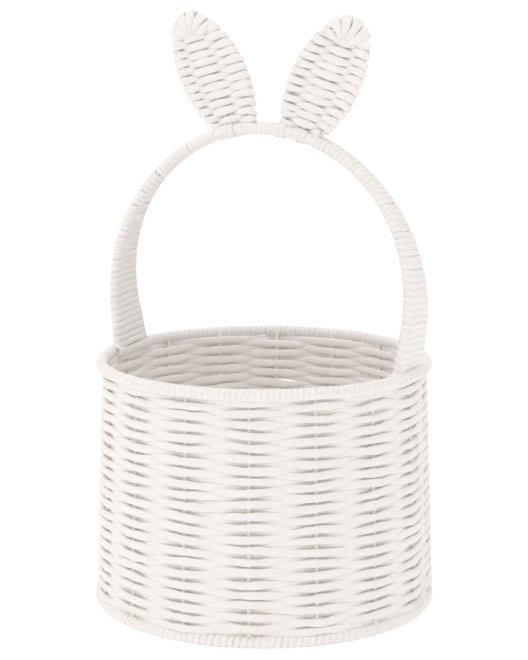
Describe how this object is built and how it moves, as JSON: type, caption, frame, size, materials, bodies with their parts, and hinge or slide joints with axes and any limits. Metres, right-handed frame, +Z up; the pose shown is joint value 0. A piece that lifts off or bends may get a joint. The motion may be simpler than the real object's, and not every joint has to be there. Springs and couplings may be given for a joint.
{
  "type": "easter basket",
  "caption": "Round woven basket with a fixed arched carrying handle topped by upright rabbit ears, open at the top for holding treats or decorations.",
  "frame": {"origin": "centre of the base on the surface the basket stands on", "axes": "+Z up, X along the plane of the handle and ears, Y across it"},
  "size_m": [0.2086, 0.2086, 0.3573],
  "materials": {
    "paper_rope": "matt warm white twisted paper rope",
    "paper_rope_inside": "matt cream twisted paper rope",
    "frame_wire": "white coated steel wire"
  },
  "bodies": {
    "root": {"base_hoop": "frame_wire", "base_ring": "frame_wire", "base_spokes": "frame_wire", "base_weave": "paper_rope_inside", "base_wrap": "paper_rope", "wall_stakes": "frame_wire", "wall_weave": "paper_rope", "rim_hoop": "frame_wire", "rim_wrap": "paper_rope", "handle_wire_front": "frame_wire", "handle_wire_back": "frame_wire", "handle_wrap_left": "paper_rope", "handle_wrap_crown": "paper_rope", "handle_wrap_right": "paper_rope", "foot_lashing_left": "paper_rope", "foot_lashing_right": "paper_rope", "ear_left_wire": "frame_wire", "ear_left_rib": "frame_wire", "ear_left_weave": "paper_rope", "ear_left_lashing": "paper_rope", "ear_right_wire": "frame_wire", "ear_right_rib": "frame_wire", "ear_right_weave": "paper_rope", "ear_right_lashing": "paper_rope"}
  },
  "joints": []
}
